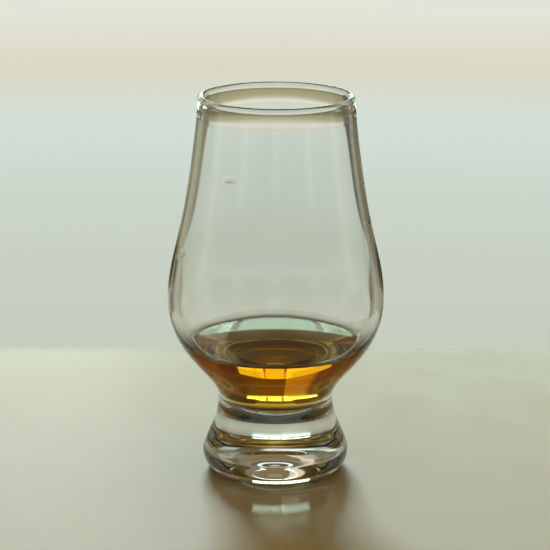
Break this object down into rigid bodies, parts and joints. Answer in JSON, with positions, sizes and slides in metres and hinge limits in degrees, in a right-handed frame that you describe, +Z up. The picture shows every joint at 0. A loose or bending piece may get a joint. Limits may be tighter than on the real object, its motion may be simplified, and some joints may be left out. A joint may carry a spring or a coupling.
{
  "type": "whisky nosing glass",
  "caption": "Tulip-shaped whisky nosing glass: thin bowl narrowing to a rounded rim, fused to a short solid flared foot, with a small pour of whisky in it.",
  "frame": {"origin": "centre of the flat ring that the glass stands on, at table height", "axes": "+Z up the glass's axis of revolution, from the foot to the rim; X and Y level, with no front"},
  "size_m": [0.065, 0.065, 0.115],
  "materials": {
    "bowl_glass": "polished clear",
    "foot_glass": "polished clear",
    "whisky": "clear amber liquid"
  },
  "bodies": {
    "root": {"bowl": "bowl_glass", "foot": "foot_glass", "whisky": "whisky"}
  },
  "joints": []
}
